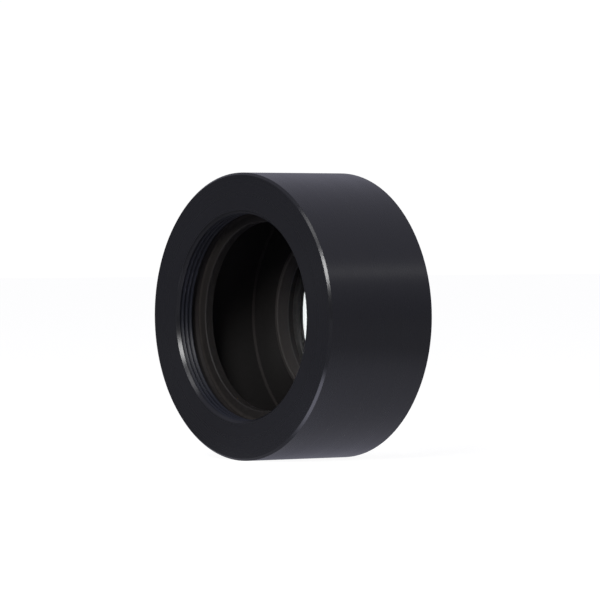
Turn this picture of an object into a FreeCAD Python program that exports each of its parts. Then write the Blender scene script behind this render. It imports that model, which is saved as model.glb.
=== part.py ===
import FreeCAD, Part

import os
import re

import Sketcher
from FreeCAD import Placement, Rotation, Vector

# A Barlow lens unit: a short barrel with a 42 mm x 1 female thread in front, and at the rear a
# flange whose 42 mm x 0.75 male spigot holds the screwed-in lens cell. Millimetres, +Z up.
# The optical axis is Y and light leaves through the front, towards -Y. The origin is on the axis,
# in the barrel's rear face, which is the shoulder that the male thread seats on.
# Each turned piece is drawn about its own Z axis, from its front end at height 0.

SIZES = {
    # barrel
    "barrel_radius": 28.5,
    "barrel_length": 25.9,
    "edge_chamfer": 0.45,
    "chamber_radius": 25.9,
    "chamber_ramp": 0.4,
    "floor_depth": 23.7,
    # 42 mm x 1 female thread, on the basic profile, and the relief behind it
    "front_pitch": 1.0,
    "front_major": 21.0,
    "front_minor": 20.459,
    "front_mouth": 21.05,
    "front_phase": 0.52,
    "relief_depth": 3.9,
    "relief_radius": 21.6,
    "relief_ramp": 0.5,
    # glare stop
    "stop_depth": 5.8,
    "stop_thickness": 1.95,
    "stop_radius": 23.0,
    "stop_aperture": 18.78,
    # rear flange and its 42 mm x 0.75 male spigot
    "flange_radius": 26.6,
    "spigot_length": 5.5,
    "spigot_pitch": 0.75,
    "spigot_major": 21.0,
    "spigot_minor": 20.594,
    "spigot_land": 0.6,
    "lip_thickness": 0.8,
    "lip_radius": 18.45,
    "pin_hole_radius": 0.9,
    "pin_hole_depth": 1.3,
    "pin_hole_circle": 23.8,
    # 39 mm x 0.75 thread between the flange and the lens cell, opened by a running clearance
    "cell_pitch": 0.75,
    "cell_major": 19.5,
    "cell_minor": 19.094,
    "cell_clearance": 0.05,
    "cell_phase": -0.8,
    "cell_relief": 0.8,
    "thread_chamfer": 0.5,
    # lens cell and what it holds
    "aperture": 17.2,
    "seat_radius": 17.85,
    "seat_depth": 1.35,
    "ring_radius": 18.1,
    "cell_length": 6.45,
    "shoulder_thickness": 0.9,
    "ring_proud": 1.5,
    "ring_reach": 1.25,
    "rim_chamfer": 0.15,
    "cushion_thickness": 0.2,
    "slot_width": 1.2,
    "slot_depth": 0.6,
    # air-spaced doublet
    "lens_radius": 17.8,
    "negative_edge": 2.9,
    "negative_front_curve": 250.0,
    "negative_rear_curve": 120.0,
    "spacer_inner_radius": 17.0,
    "spacer_thickness": 0.3,
    "spacer_relief": 0.12,
    "positive_edge": 0.78,
    "positive_front_curve": 118.0,
    "positive_rear_curve": 300.0,
}

SHEET = "Dimensions"
HEIGHT_ZERO = -1  # the sketch's horizontal axis
LAY_ALONG_Y = Rotation(Vector(1, 0, 0), -90)
TAN_30 = 0.5773503
CUTTER_HEIGHT = 1.15  # a thread cutter's height, in depths of its groove
INTERNAL_FLAT = 16  # a nut's groove ends in a flat of a pitch / 8, so half of it is pitch / 16
EXTERNAL_FLAT = 8  # a screw's groove ends in a flat of a pitch / 4


def make_sheet(doc):
    sheet = doc.addObject("Spreadsheet::Sheet", SHEET)
    for row, (alias, value) in enumerate(SIZES.items(), start=1):
        sheet.set(f"A{row}", alias)
        sheet.set(f"B{row}", str(value))
        sheet.setAlias(f"B{row}", alias)
    doc.recompute()


def bound(expression):
    """The expression with each name in it read from the sheet."""
    return re.sub(r"[a-z]+(_[a-z]+)+|aperture", lambda name: f"{SHEET}.{name.group()}", expression)


def place(piece, station):
    """Lay a piece along Y, with its front end this far behind the barrel's front face."""
    piece.Placement = Placement(Vector(), LAY_ALONG_Y)
    piece.setExpression("Placement.Base.y", bound(f"{station} - barrel_length"))


def new_body(doc, name, station):
    body = doc.addObject("PartDesign::Body", name)
    place(body, station)
    return body


def new_sketch(body, name, role):
    sketch = body.newObject("Sketcher::SketchObject", name)
    plane = next(feature for feature in body.Origin.OriginFeatures if feature.Role == role)
    sketch.AttachmentSupport = [(plane, "")]
    sketch.MapMode = "FlatFace"
    return sketch


def size_of(sketch, expression):
    return float(sketch.evalExpression(bound(expression)))


def drive(sketch, kind, point, expression):
    """Dimension a point from the sketch's origin with an expression of the sheet."""
    value = size_of(sketch, expression)
    index = sketch.addConstraint(Sketcher.Constraint(kind, -1, 1, *point, value))
    sketch.setExpression(f"Constraints[{index}]", bound(expression))


def outline(sketch, corners):
    """A closed outline of straight lines through corners, each a pair of expressions across and up."""
    points = [Vector(size_of(sketch, across), size_of(sketch, up)) for across, up in corners]
    following = [*range(1, len(corners)), 0]
    for index, after in enumerate(following):
        sketch.addGeometry(Part.LineSegment(points[index], points[after]))
    for index, after in enumerate(following):
        across, up = corners[index]
        sketch.addConstraint(Sketcher.Constraint("Coincident", index, 2, after, 1))
        drive(sketch, "DistanceX", (index, 1), across)
        if up == "0":
            sketch.addConstraint(Sketcher.Constraint("PointOnObject", index, 1, HEIGHT_ZERO))
        else:
            drive(sketch, "DistanceY", (index, 1), up)


def finish_cut(body, cut):
    """Make a cut the body's tip, once it is known to take material away."""
    body.Document.recompute()
    if cut.Shape.Volume > cut.BaseFeature.Shape.Volume - 0.01:
        raise RuntimeError(f"{cut.Name} cuts nothing")
    body.Tip = cut


def turn(body, corners):
    """Turn an outline, whose corners are a radius and a height, about the body's Z axis."""
    profile = new_sketch(body, f"{body.Name}_outline", "XZ_Plane")
    outline(profile, corners)
    turned = body.newObject("PartDesign::Revolution", f"{body.Name}_turned")
    turned.Profile = profile
    turned.ReferenceAxis = (profile, ["V_Axis"])
    turned.Angle = 360
    body.Document.recompute()


def cut_thread(body, name, mouth, root, flat, pitch, first, last):
    """Cut a right-hand thread groove with 60 degree flanks.

    mouth and root are the radii of its wide and narrow sides, flat sets the narrow side's width,
    and first and last are the heights at which its middle starts and ends. The cutter is taller
    than the groove is deep, so that it stands out of the mouth.
    """
    cutter = f"(({mouth} - ({root})) * {CUTTER_HEIGHT})"
    mouth = f"{root} + {cutter}"
    root_half = f"{pitch} / {flat}"
    mouth_half = f"({root_half} + abs({cutter}) * {TAN_30})"
    profile = new_sketch(body, f"{name}_outline", "XZ_Plane")
    outline(
        profile,
        [
            (mouth, f"{first} - {mouth_half}"),
            (root, f"{first} - {root_half}"),
            (root, f"{first} + {root_half}"),
            (mouth, f"{first} + {mouth_half}"),
        ],
    )
    thread = body.newObject("PartDesign::SubtractiveHelix", name)
    thread.Profile = profile
    thread.ReferenceAxis = (profile, ["V_Axis"])
    thread.Mode = "pitch-height-angle"
    thread.setExpression("Pitch", bound(pitch))
    thread.setExpression("Height", bound(f"{last} - ({first})"))
    finish_cut(body, thread)


def cut_slots(body, height, reach, into_body):
    """Cut two opposite spanner slots across an end face at this height; into_body is 1 or -1 in Z."""
    sketch = new_sketch(body, f"{body.Name}_slot_outline", "XY_Plane")
    sketch.setExpression("AttachmentOffset.Base.z", bound(height))
    half = "slot_width / 2"
    outline(
        sketch,
        [(f"-{half}", f"-({reach})"), (half, f"-({reach})"), (half, reach), (f"-{half}", reach)],
    )
    slots = body.newObject("PartDesign::Pocket", f"{body.Name}_slots")
    slots.Profile = sketch
    slots.Reversed = into_body > 0
    slots.setExpression("Length", bound("slot_depth"))
    finish_cut(body, slots)


def make_barrel(doc):
    """The outer sleeve with its front wall, thread, thread relief and wide blackened chamber."""
    barrel = new_body(doc, "barrel", "0")
    stop_rear = "stop_depth + stop_thickness"
    turn(
        barrel,
        [
            ("front_mouth", "0"),
            ("front_minor", "front_mouth - front_minor"),
            ("front_minor", "relief_depth"),
            ("relief_radius", "relief_depth"),
            ("relief_radius", "stop_depth - relief_ramp"),
            ("relief_radius - relief_ramp", "stop_depth"),
            ("stop_radius", "stop_depth"),
            ("stop_radius", stop_rear),
            ("chamber_radius", stop_rear),
            ("chamber_radius", "floor_depth - chamber_ramp"),
            ("chamber_radius - chamber_ramp", "floor_depth"),
            ("flange_radius", "floor_depth"),
            ("flange_radius", "barrel_length"),
            ("barrel_radius - edge_chamfer", "barrel_length"),
            ("barrel_radius", "barrel_length - edge_chamfer"),
            ("barrel_radius", "edge_chamfer"),
            ("barrel_radius - edge_chamfer", "0"),
        ],
    )
    first = "front_phase - 2 * front_pitch"
    last = "relief_depth + 0.9 * front_pitch"
    cut_thread(
        barrel, "front_thread", "front_minor", "front_major", INTERNAL_FLAT, "front_pitch", first, last
    )
    return barrel


def make_glare_stop(doc):
    """The ring that narrows the way in, screwed into the front wall from the chamber's side."""
    stop = new_body(doc, "glare_stop", "stop_depth")
    turn(
        stop,
        [
            ("stop_aperture + rim_chamfer", "0"),
            ("stop_radius", "0"),
            ("stop_radius", "stop_thickness"),
            ("stop_aperture + rim_chamfer", "stop_thickness"),
            ("stop_aperture", "stop_thickness - rim_chamfer"),
            ("stop_aperture", "rim_chamfer"),
        ],
    )
    cut_slots(stop, "stop_thickness", "stop_radius + 1", -1)
    return stop


def make_rear_flange(doc):
    """The rear wall with the male spigot, bored and threaded for the lens cell."""
    flange = new_body(doc, "rear_flange", "floor_depth")
    shoulder = "(barrel_length - floor_depth)"
    end = f"({shoulder} + spigot_length)"
    cell_land = "cell_minor + cell_clearance"
    cell_root = "cell_major + cell_clearance"
    relief_end = "lip_thickness + cell_relief"
    turn(
        flange,
        [
            ("lip_radius", "0"),
            ("flange_radius", "0"),
            ("flange_radius", shoulder),
            ("spigot_major", shoulder),
            ("spigot_major", f"{end} - thread_chamfer"),
            ("spigot_major - thread_chamfer", end),
            (f"{cell_land} + thread_chamfer", end),
            (cell_land, f"{end} - thread_chamfer"),
            (cell_land, relief_end),
            (cell_root, relief_end),
            (cell_root, "lip_thickness"),
            ("lip_radius", "lip_thickness"),
        ],
    )
    first = f"{shoulder} + spigot_land + spigot_pitch / 2"
    cut_thread(
        flange,
        "spigot_thread",
        "spigot_major",
        "spigot_minor",
        EXTERNAL_FLAT,
        "spigot_pitch",
        first,
        f"{end} + spigot_pitch",
    )
    # half a pitch on from the cell's own groove, so that the cell's ridge runs in this groove, and
    # far enough forward that it starts in the relief, where nothing can stop that ridge
    first = "lip_thickness + cell_phase + 1.5 * cell_pitch"
    last = f"{end} + cell_pitch"
    cut_thread(
        flange, "cell_nut_thread", cell_land, cell_root, INTERNAL_FLAT, "cell_pitch", first, last
    )
    cut_pin_holes(flange, shoulder)
    return flange


def cut_pin_holes(flange, height):
    """Two blind holes in the rear face for the pin spanner that screws the flange home."""
    sketch = new_sketch(flange, "pin_hole_outline", "XY_Plane")
    sketch.setExpression("AttachmentOffset.Base.z", bound(height))
    middle = Vector(size_of(sketch, "pin_hole_circle"), 0)
    radius = size_of(sketch, "pin_hole_radius")
    circle = sketch.addGeometry(Part.Circle(middle, Vector(0, 0, 1), radius))
    sketch.addConstraint(Sketcher.Constraint("PointOnObject", circle, 3, HEIGHT_ZERO))
    drive(sketch, "DistanceX", (circle, 3), "pin_hole_circle")
    index = sketch.addConstraint(Sketcher.Constraint("Radius", circle, radius))
    sketch.setExpression(f"Constraints[{index}]", bound("pin_hole_radius"))
    hole = flange.newObject("PartDesign::Pocket", "pin_hole")
    hole.Profile = sketch
    hole.setExpression("Length", bound("pin_hole_depth"))
    finish_cut(flange, hole)
    pair = flange.newObject("PartDesign::PolarPattern", "pin_holes")
    pair.Originals = [hole]
    pair.Axis = (sketch, ["N_Axis"])
    pair.Angle = 360
    pair.Occurrences = 2
    finish_cut(flange, pair)


def make_lens_cell(doc):
    """The threaded tube that holds the glass between its rear shoulder and the retaining ring."""
    cell = new_body(doc, "lens_cell", "floor_depth + lip_thickness")
    crest = "cell_major - cell_clearance"
    root = "cell_minor - cell_clearance"
    turn(
        cell,
        [
            ("ring_radius", "0"),
            (f"{crest} - thread_chamfer", "0"),
            (crest, "thread_chamfer"),
            (crest, "cell_length - thread_chamfer"),
            (f"{crest} - thread_chamfer", "cell_length"),
            ("aperture + thread_chamfer", "cell_length"),
            ("aperture", "cell_length - thread_chamfer"),
            ("aperture", "cell_length - shoulder_thickness"),
            ("seat_radius", "cell_length - shoulder_thickness"),
            ("seat_radius", "seat_depth"),
            ("ring_radius", "seat_depth"),
        ],
    )
    last = "cell_length + cell_pitch"
    cut_thread(cell, "cell_thread", crest, root, EXTERNAL_FLAT, "cell_pitch", "cell_phase", last)
    cut_slots(cell, "cell_length", "cell_major + 1", -1)
    return cell


def make_retaining_ring(doc):
    """The ring that holds the glass down; its front rim stands proud of the chamber's floor."""
    ring = new_body(doc, "retaining_ring", "floor_depth + lip_thickness - ring_proud")
    length = "(ring_proud + ring_reach)"
    turn(
        ring,
        [
            ("aperture + rim_chamfer", "0"),
            ("ring_radius - rim_chamfer", "0"),
            ("ring_radius", "rim_chamfer"),
            ("ring_radius", length),
            ("aperture", length),
            ("aperture", "rim_chamfer"),
        ],
    )
    cut_slots(ring, "0", "ring_radius + 1", 1)
    return ring


def make_plain_ring(doc, name, station, inner, outer, thickness):
    ring = new_body(doc, name, station)
    turn(ring, [(inner, "0"), (outer, "0"), (outer, thickness), (inner, thickness)])
    return ring


def sag(curve):
    """How deep a spherical surface is at the lens's edge, as an expression."""
    return f"({curve} - sqrt({curve} * {curve} - lens_radius * lens_radius))"


def make_blank(doc, name, low, height):
    blank = doc.addObject("Part::Cylinder", f"{name}_blank")
    blank.setExpression("Radius", bound("lens_radius"))
    blank.setExpression("Height", bound(height))
    blank.setExpression("Placement.Base.z", bound(low))
    return blank


def make_ball(doc, name, curve, middle):
    ball = doc.addObject("Part::Sphere", name)
    ball.setExpression("Radius", bound(curve))
    ball.setExpression("Placement.Base.z", bound(middle))
    return ball


def combine(doc, kind, name, base, tool):
    result = doc.addObject(kind, name)
    result.Base = base
    result.Tool = tool
    return result


def make_negative_element(doc, station):
    """The biconcave front element, ground from a disc by one ball each side."""
    front = "negative_front_curve"
    rear = "negative_rear_curve"
    blank = make_blank(doc, "negative", "0 * lens_radius", "negative_edge")
    front_ball = make_ball(doc, "negative_front_ball", front, f"{sag(front)} - {front}")
    rear_ball = make_ball(doc, "negative_rear_ball", rear, f"negative_edge - {sag(rear)} + {rear}")
    ground = combine(doc, "Part::Cut", "negative_ground", blank, front_ball)
    element = combine(doc, "Part::Cut", "negative_element", ground, rear_ball)
    place(element, station)
    return element


def make_positive_element(doc, station):
    """The meniscus behind it, whose bulge nests in the negative element's hollow."""
    front = "positive_front_curve"
    rear = "positive_rear_curve"
    blank = make_blank(doc, "positive", f"-{sag(front)}", f"{sag(front)} + positive_edge")
    front_ball = make_ball(doc, "positive_front_ball", front, f"{front} - {sag(front)}")
    rear_ball = make_ball(doc, "positive_rear_ball", rear, f"positive_edge - {sag(rear)} + {rear}")
    ground = combine(doc, "Part::Common", "positive_ground", blank, front_ball)
    element = combine(doc, "Part::Cut", "positive_element", ground, rear_ball)
    place(element, station)
    return element


def check(doc, pieces):
    for item in doc.Objects:
        if "Invalid" in item.State or "Error" in item.State:
            raise RuntimeError(f"{item.Name} failed: {item.State}")
    for piece in pieces:
        shape = piece.Shape
        if shape.isNull() or not shape.isValid() or len(shape.Solids) != 1:
            raise RuntimeError(f"{piece.Label} isn't one valid solid")


def main():
    doc = FreeCAD.newDocument("barlow_lens")
    make_sheet(doc)
    glass = "floor_depth + lip_thickness + ring_reach + cushion_thickness"
    spacer = f"{glass} + negative_edge"
    pieces = [
        make_barrel(doc),
        make_glare_stop(doc),
        make_rear_flange(doc),
        make_lens_cell(doc),
        make_retaining_ring(doc),
        make_plain_ring(
            doc,
            "cushion_ring",
            "floor_depth + lip_thickness + ring_reach",
            "aperture",
            "lens_radius",
            "cushion_thickness",
        ),
        make_negative_element(doc, glass),
        make_plain_ring(
            doc, "spacer_ring", spacer, "spacer_inner_radius", "lens_radius", "spacer_thickness"
        ),
        make_positive_element(doc, f"{spacer} + spacer_thickness + spacer_relief"),
    ]
    doc.recompute()
    check(doc, pieces)
    os.makedirs("parts", exist_ok=True)
    for piece in pieces:
        piece.Shape.exportStep(f"parts/{piece.Label}.step")


main()
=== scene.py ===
import math

import bpy
from mathutils import Matrix, Vector


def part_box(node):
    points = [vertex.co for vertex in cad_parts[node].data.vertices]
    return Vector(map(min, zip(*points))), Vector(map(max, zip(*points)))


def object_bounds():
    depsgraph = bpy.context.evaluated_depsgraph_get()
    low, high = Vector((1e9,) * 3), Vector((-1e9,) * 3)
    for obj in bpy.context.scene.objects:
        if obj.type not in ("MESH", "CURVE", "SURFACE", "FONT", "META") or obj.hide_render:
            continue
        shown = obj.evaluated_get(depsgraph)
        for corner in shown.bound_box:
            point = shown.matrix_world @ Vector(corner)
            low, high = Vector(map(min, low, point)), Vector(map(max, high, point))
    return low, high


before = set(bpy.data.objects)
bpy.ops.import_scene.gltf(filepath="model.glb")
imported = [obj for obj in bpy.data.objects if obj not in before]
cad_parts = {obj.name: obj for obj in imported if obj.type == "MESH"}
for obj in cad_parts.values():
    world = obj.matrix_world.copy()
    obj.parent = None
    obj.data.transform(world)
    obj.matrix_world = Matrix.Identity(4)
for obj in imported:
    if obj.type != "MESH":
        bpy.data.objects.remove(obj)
CAD_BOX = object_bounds()

MM = 1e-3
AXIS = Vector((0, 1, 0))
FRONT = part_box("barrel")[0].y
OUTER_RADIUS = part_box("barrel")[1].x
STOP_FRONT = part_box("glare_stop")[0].y
STOP_HOLE = 0.659 * OUTER_RADIUS
FLANGE_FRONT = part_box("rear_flange")[0].y


# Shader nodes -------------------------------------------------------------------------------------

def node(tree, kind, sockets=None, **settings):
    """A new shader node; sockets maps an input to a constant or to the output that feeds it."""
    made = tree.nodes.new(kind)
    for name, value in settings.items():
        setattr(made, name, value)
    for key, value in (sockets or {}).items():
        if isinstance(value, bpy.types.NodeSocket):
            tree.links.new(value, made.inputs[key])
        else:
            made.inputs[key].default_value = value
    return made


def maths(tree, operation, first, second=0.0):
    return node(tree, "ShaderNodeMath", {0: first, 1: second}, operation=operation).outputs[0]


def times(tree, first, second):
    return maths(tree, "MULTIPLY", first, second)


def plus(tree, first, second):
    return maths(tree, "ADD", first, second)


def ramp(tree, value, start, end, low=0.0, high=1.0, smooth=True):
    """value from start to end becomes low to high, and stays there outside."""
    sockets = {"Value": value, "From Min": start, "From Max": end, "To Min": low, "To Max": high}
    shape = "SMOOTHSTEP" if smooth else "LINEAR"
    return node(tree, "ShaderNodeMapRange", sockets, interpolation_type=shape).outputs[0]


def noise(tree, vector, scale, detail=2.0, roughness=0.5):
    sockets = {"Vector": vector, "Scale": scale, "Detail": detail, "Roughness": roughness}
    return node(tree, "ShaderNodeTexNoise", sockets).outputs["Fac"]


def blend_values(tree, share, first, second):
    return node(tree, "ShaderNodeMix", {0: share, 2: first, 3: second}).outputs[0]


def blend_vectors(tree, share, first, second):
    return node(tree, "ShaderNodeMix", {0: share, 4: first, 5: second}, data_type="VECTOR").outputs[1]


def blend_colours(tree, share, first, second):
    return node(tree, "ShaderNodeMix", {0: share, 6: first, 7: second}, data_type="RGBA").outputs[2]


def blend_shaders(tree, share, first, second):
    sockets = {0: share, 1: first, 2: second}
    return node(tree, "ShaderNodeMixShader", sockets).outputs[0]


def scaled(tree, colour, share):
    """colour darkened or lightened by share."""
    return node(tree, "ShaderNodeVectorMath", {0: colour, "Scale": share}, operation="SCALE").outputs[0]


def split(tree, vector, part):
    """One of the three parts of a vector: 0, 1 or 2 for X, Y or Z."""
    return node(tree, "ShaderNodeSeparateXYZ", {0: vector}).outputs[part]


def alignment(tree, vector, way):
    """How nearly two directions agree: 1 when they are the same."""
    sockets = {0: vector, 1: way}
    return node(tree, "ShaderNodeVectorMath", sockets, operation="DOT_PRODUCT").outputs["Value"]


def new_material(name):
    """A material with nothing in it but its output node."""
    material = bpy.data.materials.new(name)
    material.use_nodes = True
    tree = material.node_tree
    tree.nodes.clear()
    return material, tree, tree.nodes.new("ShaderNodeOutputMaterial")


class Lathe:
    """Where a point is on a turned part: its place, its radius and its station along the axis.
    Noise over rings gives the grooves that a lathe leaves."""

    def __init__(self, tree):
        self.place = node(tree, "ShaderNodeTexCoord").outputs["Object"]
        parts = node(tree, "ShaderNodeSeparateXYZ", {0: self.place}).outputs
        flat = node(tree, "ShaderNodeCombineXYZ", {0: parts[0], 2: parts[2]}).outputs[0]
        length = node(tree, "ShaderNodeVectorMath", {0: flat}, operation="LENGTH")
        self.radius = length.outputs["Value"]
        self.station = parts[1]
        rings = node(tree, "ShaderNodeCombineXYZ", {0: self.radius, 1: self.station})
        self.rings = rings.outputs[0]


def rounded_edges(tree, reach):
    """The normal with each edge rounded off over reach, and a mask that is 1 on the edges."""
    rounded = node(tree, "ShaderNodeBevel", {"Radius": reach}, samples=6).outputs[0]
    flat = node(tree, "ShaderNodeNewGeometry").outputs["Normal"]
    return rounded, ramp(tree, alignment(tree, rounded, flat), 0.995, 0.86)


def bumpy(tree, height, depth, normal=None):
    sockets = {"Height": height, "Strength": 1.0, "Distance": depth}
    if normal:
        sockets["Normal"] = normal
    return node(tree, "ShaderNodeBump", sockets).outputs[0]


# Masks over the turned parts ----------------------------------------------------------------------

MOUTH_CHAMFER = 0.6 * MM
# the plain stretch between the thread and the stop
RELIEF_LENGTH = 1.9 * MM
# about how long the sloping corners before the stop and before the chamber's floor are
RAMP_LENGTH = 0.5 * MM
# how far the lip round the floor's hole and the relief behind it reach back
LIP_REACH = 1.6 * MM


def inside_barrel(tree, lathe):
    """The inside walls, from the start of the relief to the rear."""
    relief = STOP_FRONT - RELIEF_LENGTH
    within = ramp(tree, lathe.radius, 0.95 * OUTER_RADIUS, 0.94 * OUTER_RADIUS)
    behind = ramp(tree, lathe.station, relief + 0.2 * MM, relief + 0.6 * MM)
    return times(tree, within, behind)


def front_threads(tree, lathe):
    """All that lies behind the mouth's chamfer and no further out than the thread."""
    start = FRONT + MOUTH_CHAMFER
    within = ramp(tree, lathe.radius, 0.76 * OUTER_RADIUS, 0.75 * OUTER_RADIUS)
    behind = ramp(tree, lathe.station, start - 0.1 * MM, start + 0.1 * MM)
    return times(tree, within, behind)


def inside_cell(tree, lathe):
    """The cell's bore, up to just under its thread."""
    return ramp(tree, lathe.radius, 0.655 * OUTER_RADIUS, 0.65 * OUTER_RADIUS)


def inside_flange(tree, lathe):
    """The chamber's floor, the lip round the hole in it and the relief behind the lip."""
    end = FLANGE_FRONT + LIP_REACH
    return ramp(tree, lathe.station, end, end - 0.4 * MM)


def painted_light_on_stop(tree, lathe):
    """Painted shade, darker down the hole's wall, and a painted highlight, paler out towards the front
    wall's ramp.
    """
    hole = ramp(tree, lathe.radius, STOP_HOLE + 0.1 * MM, STOP_HOLE + 0.2 * MM, 0.76, 0.82)
    painted_highlight = ramp(tree, lathe.radius, STOP_HOLE + 1.4 * MM, STOP_HOLE + 1.9 * MM, 0.0, 0.85)
    return plus(tree, hole, painted_highlight)


def painted_shade_and_highlight(tree, lathe):
    """Painted shade, darker down in the chamber, and painted highlights, paler on the ramps just before
    the stop and the floor.
    """
    # painted shade: the paint darkens deeper into the chamber
    share = ramp(tree, lathe.station, STOP_FRONT, STOP_FRONT + 2.2 * MM, 1.0, 0.68)
    # painted highlights: pale lines on the ramps before the stop and before the floor
    for end, highlight_level in ((STOP_FRONT, 0.45), (FLANGE_FRONT, 0.8)):
        start = end - RAMP_LENGTH
        rising = ramp(tree, lathe.station, start - 0.1 * MM, start + 0.15 * MM, 0.0, highlight_level)
        falling = ramp(tree, lathe.station, end - 0.02 * MM, end - 0.06 * MM)
        share = plus(tree, share, times(tree, rising, falling))
    return share


# Materials ----------------------------------------------------------------------------------------

ANODISED_DARK = (0.0034, 0.0036, 0.0046, 1.0)
ANODISED_LIGHT = (0.0053, 0.0055, 0.0070, 1.0)
ANODISED_WORN = (0.02, 0.02, 0.022, 1.0)
# a paler, bluer colour for the thread: painted light that lifts its dark grooves
THREAD_PAINTED_LIGHT = (0.0065, 0.0078, 0.0130, 1.0)
PAINT_DARK = (0.0072, 0.0061, 0.0056, 1.0)
PAINT_LIGHT = (0.0140, 0.0120, 0.0110, 1.0)
GROUND_GLASS = (0.009, 0.0082, 0.0078, 1.0)
COATING_INDEX = 1.38


def anodised(name, painted, threads=None, rough=(0.25, 0.31), tool_mark=1.0):
    """Black anodised aluminium as it comes off a lathe. painted(tree, lathe) gives the share that is
    covered by the matt black of the inside walls, and threads(tree, lathe) the share that is
    threaded."""
    material, tree, output = new_material(name)
    lathe = Lathe(tree)
    rounded, worn = rounded_edges(tree, 0.1 * MM)

    marks = noise(tree, lathe.rings, 2600.0, 3.0, 0.62)
    broad = noise(tree, lathe.rings, 420.0, 2.0)
    grain = noise(tree, lathe.place, 5200.0, 2.0, 0.6)
    cloud = noise(tree, lathe.place, 90.0, 3.0)
    speckle = noise(tree, lathe.place, 900.0, 3.0, 0.65)

    shade = blend_colours(tree, cloud, ANODISED_DARK, ANODISED_LIGHT)
    shade = blend_colours(tree, times(tree, worn, 0.4), shade, ANODISED_WORN)
    sheen = plus(tree, times(tree, marks, 0.55), times(tree, broad, 0.45))
    roughness = ramp(tree, sheen, 0.3, 0.7, rough[0], rough[1], smooth=False)
    if threads:
        threaded = threads(tree, lathe)
        # the thread's paler, bluer colour is painted light that lifts its dark grooves
        shade = blend_colours(tree, threaded, shade, THREAD_PAINTED_LIGHT)
        roughness = blend_values(tree, threaded, roughness, 0.42)

    paint = painted(tree, lathe)
    brown = blend_colours(tree, speckle, PAINT_DARK, PAINT_LIGHT)
    # the paint carries painted shade down in the chamber and painted highlights on its ramps
    shade = blend_colours(tree, paint, shade, scaled(tree, brown, painted_shade_and_highlight(tree, lathe)))
    roughness = blend_values(tree, paint, roughness, 0.66)
    specular = blend_values(tree, paint, 0.5, 0.2)
    depth = blend_values(tree, paint, 4.5e-6, 2e-6)
    height = plus(tree, times(tree, marks, 0.4 * tool_mark), times(tree, grain, 0.5))

    tangent = node(tree, "ShaderNodeTangent", direction_type="RADIAL", axis="Y").outputs[0]
    surface = node(tree, "ShaderNodeBsdfPrincipled", {
        "Base Color": shade,
        "Roughness": roughness,
        "IOR": 1.5,
        "Specular IOR Level": specular,
        "Anisotropic": 0.7,
        "Anisotropic Rotation": 0.25,
        "Tangent": tangent,
        "Normal": bumpy(tree, height, depth, rounded),
    })
    tree.links.new(surface.outputs[0], output.inputs["Surface"])
    return material


def matt(name, dark, light, rough=(0.5, 0.66), worn=(0.05, 0.047, 0.045), reach=0.1, shades=None):
    """Matt black of stops, spacers and plastic rings: speckled, and worn paler for reach mm along
    the edges. shades(tree, lathe) paints shade and highlights on it, darker or lighter from place
    to place."""
    material, tree, output = new_material(name)
    lathe = Lathe(tree)
    rounded, edges = rounded_edges(tree, reach * MM)
    speckle = noise(tree, lathe.place, 1100.0, 3.0, 0.65)
    marks = noise(tree, lathe.rings, 2200.0, 2.0, 0.6)
    shade = blend_colours(tree, speckle, (*dark, 1.0), (*light, 1.0))
    if shades:
        shade = scaled(tree, shade, shades(tree, lathe))
    shade = blend_colours(tree, times(tree, edges, 0.7), shade, (*worn, 1.0))
    height = plus(tree, times(tree, speckle, 0.6), times(tree, marks, 0.4))
    surface = node(tree, "ShaderNodeBsdfPrincipled", {
        "Base Color": shade,
        "Roughness": ramp(tree, speckle, 0.3, 0.7, rough[0], rough[1], smooth=False),
        "IOR": 1.5,
        "Specular IOR Level": 0.25,
        "Normal": bumpy(tree, height, 9e-6, rounded),
    })
    tree.links.new(surface.outputs[0], output.inputs["Surface"])
    return material


def glass(name, index, tint, film):
    """Clear optical glass with a coating film nanometres thick, and a ground, blackened edge."""
    material, tree, output = new_material(name)
    lathe = Lathe(tree)
    mesh = node(tree, "ShaderNodeNewGeometry").outputs

    # the mesh's smooth normals swirl round the axis, so its flat ones serve there
    centre = ramp(tree, lathe.radius, 2.5 * MM, 1.5 * MM)
    haze = noise(tree, lathe.place, 160.0, 2.0)
    polished = node(tree, "ShaderNodeBsdfPrincipled", {
        "Base Color": (*tint, 1.0),
        "Roughness": ramp(tree, haze, 0.45, 0.75, 0.0, 0.015),
        "IOR": index,
        "Transmission Weight": 1.0,
        "Thin Film Thickness": film,
        "Thin Film IOR": COATING_INDEX,
        "Normal": blend_vectors(tree, centre, mesh["Normal"], mesh["True Normal"]),
    })

    grain = noise(tree, lathe.place, 3000.0, 3.0, 0.7)
    ground = node(tree, "ShaderNodeBsdfPrincipled", {
        "Base Color": GROUND_GLASS,
        "Roughness": ramp(tree, grain, 0.3, 0.7, 0.6, 0.8),
        "Specular IOR Level": 0.1,
        "Normal": bumpy(tree, grain, 8e-6),
    })
    facing = maths(tree, "ABSOLUTE", split(tree, mesh["True Normal"], 1))
    outside = ramp(tree, lathe.radius, 14 * MM, 15 * MM)
    edge = times(tree, ramp(tree, facing, 0.5, 0.4), outside)
    solid = blend_shaders(tree, edge, polished.outputs[0], ground.outputs[0])

    # lamps shine through the glass on what lies behind it
    clear = node(tree, "ShaderNodeBsdfTransparent", {0: (0.94, 0.94, 0.94, 1.0)}).outputs[0]
    shadow = node(tree, "ShaderNodeLightPath").outputs["Is Shadow Ray"]
    tree.links.new(blend_shaders(tree, shadow, solid, clear), output.inputs["Surface"])
    return material


def dress(name, material):
    """Gives a CAD node its material, in each slot that it has."""
    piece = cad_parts[name]
    if not piece.material_slots:
        piece.data.materials.append(material)
    for held in piece.material_slots:
        held.material = material


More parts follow.
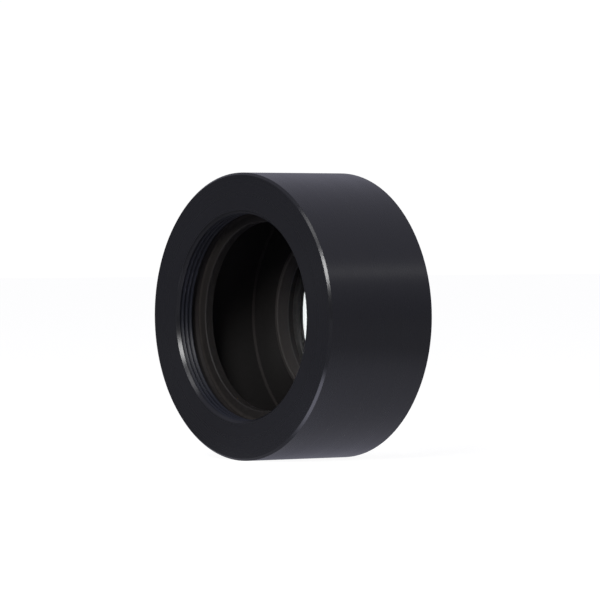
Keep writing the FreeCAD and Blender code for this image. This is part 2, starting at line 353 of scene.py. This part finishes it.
def dress_parts():
    dress("barrel", anodised("anodised_barrel", inside_barrel, front_threads))
    dress("rear_flange", anodised("anodised_flange", inside_flange))
    dress("lens_cell", anodised("anodised_cell", inside_cell, rough=(0.3, 0.42), tool_mark=1.3))
    dress("glare_stop", matt(
        "matt_stop", (0.012, 0.0106, 0.0097), (0.025, 0.022, 0.020), shades=painted_light_on_stop))
    # the ring's edges are worn paler and over a wider reach than the other rings': real wear, and also a
    # painted highlight along its rim
    dress("retaining_ring", matt(
        "matt_ring", (0.024, 0.0215, 0.0205), (0.036, 0.032, 0.030),
        rough=(0.6, 0.75), worn=(0.12, 0.11, 0.105), reach=0.16))
    dress("spacer_ring", matt("matt_spacer", (0.012, 0.012, 0.012), (0.022, 0.022, 0.022)))
    dress("cushion_ring", matt(
        "black_plastic", (0.014, 0.014, 0.015), (0.024, 0.024, 0.026), rough=(0.38, 0.5)))
    dress("negative_element", glass("crown_glass", 1.517, (0.995, 1.0, 0.996), 118.0))
    dress("positive_element", glass("flint_glass", 1.62, (1.0, 0.998, 0.985), 132.0))


# Studio -------------------------------------------------------------------------------------------

ROOM_TINT = (0.967, 0.963, 1.18, 1.0)
WHITE = (1.0, 1.0, 1.0, 1.0)
# how bright the white is to the eye: the room, the floor, and either of them through the lenses,
# which take some of the light away
ROOM_SEEN = 1.02
FLOOR_SEEN = 0.94
SEEN_THROUGH_GLASS = 1.4
# how strongly the room and the floor light matt surfaces
CAST = 0.18
# how bright the room is in what mirrors it, at eye level and well above or below it
MIRRORED_LEVEL = 0.30
MIRRORED_HIGH = 0.45
# darker parts of the room: which way, where they fade out and are darkest, and how dark
LEFT_OF_CAMERA = (Vector((-0.90, -0.43, 0)), 0.5, 0.85, 0.72)
BEHIND_CAMERA = (Vector((0.70, -0.71, 0)), 0.80, 0.97, 0.35)


def scattered_ray(tree, ray):
    """1 for the light that falls on matt surfaces, straight or through glass."""
    return maths(tree, "GREATER_THAN", ray["Diffuse Depth"], 0.5)


def seen_ray(tree, ray):
    """1 for what the eye sees, straight or through glass."""
    bounces = plus(tree, ray["Diffuse Depth"], ray["Glossy Depth"])
    unbounced = maths(tree, "LESS_THAN", bounces, 0.5)
    through = times(tree, ray["Is Transmission Ray"], unbounced)
    return maths(tree, "MAXIMUM", ray["Is Camera Ray"], through)


def background(tree, colour, level):
    return node(tree, "ShaderNodeBackground", {0: colour, 1: level}).outputs[0]


def studio_surroundings():
    """A white room: brightest to the eye, and softer and bluish in what it lights and mirrors in."""
    world = bpy.data.worlds.new("studio")
    bpy.context.scene.world = world
    world.use_nodes = True
    tree = world.node_tree
    tree.nodes.clear()
    output = tree.nodes.new("ShaderNodeOutputWorld")
    direction = node(tree, "ShaderNodeTexCoord").outputs["Generated"]
    ray = node(tree, "ShaderNodeLightPath").outputs

    steepness = maths(tree, "ABSOLUTE", split(tree, direction, 2))
    level = ramp(tree, steepness, 0.06, 0.55, MIRRORED_LEVEL, MIRRORED_HIGH)
    for way, edge, core, share in (LEFT_OF_CAMERA, BEHIND_CAMERA):
        near = alignment(tree, direction, way)
        level = times(tree, level, ramp(tree, near, edge, core, 1.0, share))
    mirrored = background(tree, ROOM_TINT, level)
    cast = background(tree, ROOM_TINT, CAST)
    soft = blend_shaders(tree, scattered_ray(tree, ray), mirrored, cast)
    white = blend_values(tree, ray["Is Camera Ray"], SEEN_THROUGH_GLASS, ROOM_SEEN)
    seen = background(tree, WHITE, white)
    tree.links.new(blend_shaders(tree, seen_ray(tree, ray), soft, seen), output.inputs["Surface"])


def distance_from(tree, place, across, along):
    """How far a point of the floor is from the point across and along on it."""
    point = Vector((across, along, CAD_BOX[0].z))
    return node(tree, "ShaderNodeVectorMath", {0: place, 1: point}, operation="DISTANCE").outputs["Value"]


def floor_paper():
    """Paper on a light table: brightest to the eye, with two pools of light in what it mirrors in."""
    material, tree, output = new_material("light_table")
    place = node(tree, "ShaderNodeTexCoord").outputs["Object"]
    ray = node(tree, "ShaderNodeLightPath").outputs
    pool = distance_from(tree, place, 22 * MM, 8 * MM)
    pool = ramp(tree, pool, 14 * MM, 62 * MM, 0.39, 0.21)
    spill = distance_from(tree, place, 1.05 * OUTER_RADIUS, FRONT - 13 * MM)
    spill = ramp(tree, spill, 8 * MM, 20 * MM, 2.3, 0.0)
    # the left side lies in the dark part of the room
    lit_side = ramp(tree, split(tree, place, 0), -45 * MM, -12 * MM, 0.4, 1.0)
    level = times(tree, plus(tree, pool, spill), lit_side)
    level = blend_values(tree, scattered_ray(tree, ray), level, CAST)
    white = blend_values(tree, ray["Is Camera Ray"], SEEN_THROUGH_GLASS, FLOOR_SEEN)
    seen = seen_ray(tree, ray)
    glow = node(tree, "ShaderNodeEmission", {
        0: blend_colours(tree, seen, ROOM_TINT, WHITE),
        1: blend_values(tree, seen, level, white),
    })
    paper = node(tree, "ShaderNodeBsdfDiffuse", {0: (0.22, 0.22, 0.22, 1.0)})
    both = node(tree, "ShaderNodeAddShader", {0: glow.outputs[0], 1: paper.outputs[0]})
    tree.links.new(both.outputs[0], output.inputs["Surface"])
    return material


def floor():
    """A pale square that the barrel lies on, wide enough to reach past the picture."""
    half = 3.0
    height = CAD_BOX[0].z
    sides = ((-half, -half), (half, -half), (half, half), (-half, half))
    mesh = bpy.data.meshes.new("floor")
    mesh.from_pydata([(across, along, height) for across, along in sides], [], [(0, 1, 2, 3)])
    mesh.materials.append(floor_paper())
    ground = bpy.data.objects.new("floor", mesh)
    bpy.context.scene.collection.objects.link(ground)


def softbox(name, way, distance, size, radiance):
    """A rectangular light, size (wide, high), seen from the object in the direction way."""
    light = bpy.data.lights.new(name, "AREA")
    light.shape = "RECTANGLE"
    light.size, light.size_y = size
    light.energy = radiance * math.pi * size[0] * size[1]
    holder = bpy.data.objects.new(name, light)
    bpy.context.scene.collection.objects.link(holder)
    way = Vector(way).normalized()
    middle = (CAD_BOX[0] + CAD_BOX[1]) / 2
    holder.location = middle + way * distance
    holder.rotation_mode = "QUATERNION"
    holder.rotation_quaternion = way.to_track_quat("Z", "Y")
    holder.visible_camera = False
    holder.visible_transmission = False


def softboxes():
    # the white glints on the rim and on the mouth's chamfer
    softbox("key", (0.505, -0.737, 0.449), 1.1, (0.30, 0.30), 24.0)
    # the glint on the thread's flanks
    softbox("thread_light", (0.094, -0.961, 0.256), 1.1, (0.22, 0.22), 7.0)
    # the upper end of the rim's glint
    softbox("overhead", (0.19, -0.62, 0.76), 1.1, (0.35, 0.35), 3.4)
    # the pale band along the barrel
    softbox("strip", (0.623, 0.624, 0.452), 1.3, (1.2, 0.09), 0.85)


def camera():
    """A long lens from the front, turned towards the barrel's side and a little above the axis."""
    turn, tilt = math.radians(51.365), math.radians(0.829)
    distance, beside, above = 963.54 * MM, 11.839 * MM, 3.305 * MM
    right = Vector((math.cos(turn), math.sin(turn), 0))
    ahead = Vector((
        -math.sin(turn) * math.cos(tilt), math.cos(turn) * math.cos(tilt), -math.sin(tilt)))
    up = right.cross(ahead)
    aim = FRONT * AXIS + beside * right + above * up
    data = bpy.data.cameras.new("camera")
    data.sensor_width = 36.0
    data.lens = 292.65
    data.clip_start, data.clip_end = 0.01, 50.0
    holder = bpy.data.objects.new("camera", data)
    bpy.context.scene.collection.objects.link(holder)
    axes = Matrix((right, up, -ahead)).transposed()
    holder.matrix_world = Matrix.Translation(aim - distance * ahead) @ axes.to_4x4()
    bpy.context.scene.camera = holder


dress_parts()
studio_surroundings()
floor()
softboxes()
camera()
bpy.context.scene.view_settings.view_transform = "Standard"
